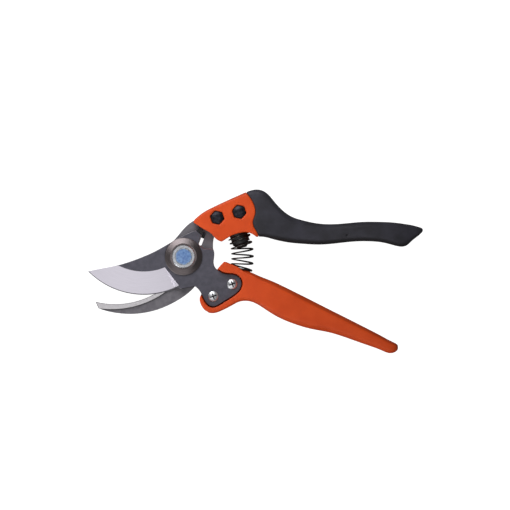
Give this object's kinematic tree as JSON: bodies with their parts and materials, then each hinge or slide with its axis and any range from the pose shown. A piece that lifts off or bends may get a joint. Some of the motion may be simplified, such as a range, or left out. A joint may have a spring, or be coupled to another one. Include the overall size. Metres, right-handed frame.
{
  "type": "bypass pruner",
  "caption": "Hand pruner: a curved blade passes a hook jaw on one pivot, with two offset handles, a coil return spring and a thumb lock.",
  "frame": {"origin": "centre of the pivot nut's flat rear face, on which the tool lies", "axes": "+Z along the pivot, towards the bolt's head; +X from the pivot to the grips; +Y towards the upper handle"},
  "size_m": [0.2143, 0.1048, 0.0188],
  "materials": {
    "coated_steel": "satin dark coating on hardened steel",
    "blade_steel": "satin dark coating, bare ground bevel",
    "turned_steel": "turned, fine concentric lines",
    "zinc": "bright zinc plate",
    "black_steel": "black oxide",
    "blue_insert": "gloss",
    "orange_nylon": "fine satin texture",
    "grip_rubber": "soft satin",
    "black_plastic": "satin",
    "spring_steel": "dark oiled wire",
    "stop_rubber": "matte"
  },
  "bodies": {
    "upper": {"counter_blade": "coated_steel", "pivot_bolt": "zinc", "pivot_disc": "blue_insert", "pivot_cap_washer": "turned_steel", "pivot_disc_spring": "spring_steel", "pivot_bush": "zinc", "pivot_rear_washer": "zinc", "pivot_nut": "zinc", "upper_handle_frame": "orange_nylon", "soft_grip": "grip_rubber", "opening_stop_pad": "stop_rubber", "spring_peg": "black_plastic", "handle_bolts": "black_steel", "handle_nuts": "black_steel", "return_spring": "spring_steel"},
    "lower": {"cutting_blade": "blade_steel", "lower_handle": "orange_nylon", "spring_seat_ring": "orange_nylon", "blade_screws": "zinc", "blade_inserts": "zinc"},
    "lock": {"lock_slider": "black_plastic", "lock_pin": "zinc"}
  },
  "joints": [
    {"name": "handle_pivot", "type": "hinge", "parent": "upper", "child": "lower", "pos_m": [0, 0, 0], "axis": [0, 0, 1], "range_deg": [0, 22], "stiffness_Nm_per_rad": 1.2, "springref_deg": -14.32, "deforming": ["return_spring"]},
    {"name": "lock_slide", "type": "slide", "parent": "upper", "child": "lock", "axis": [-0.342, -0.9397, 0], "range_m": [0, 0.0069]}
  ]
}
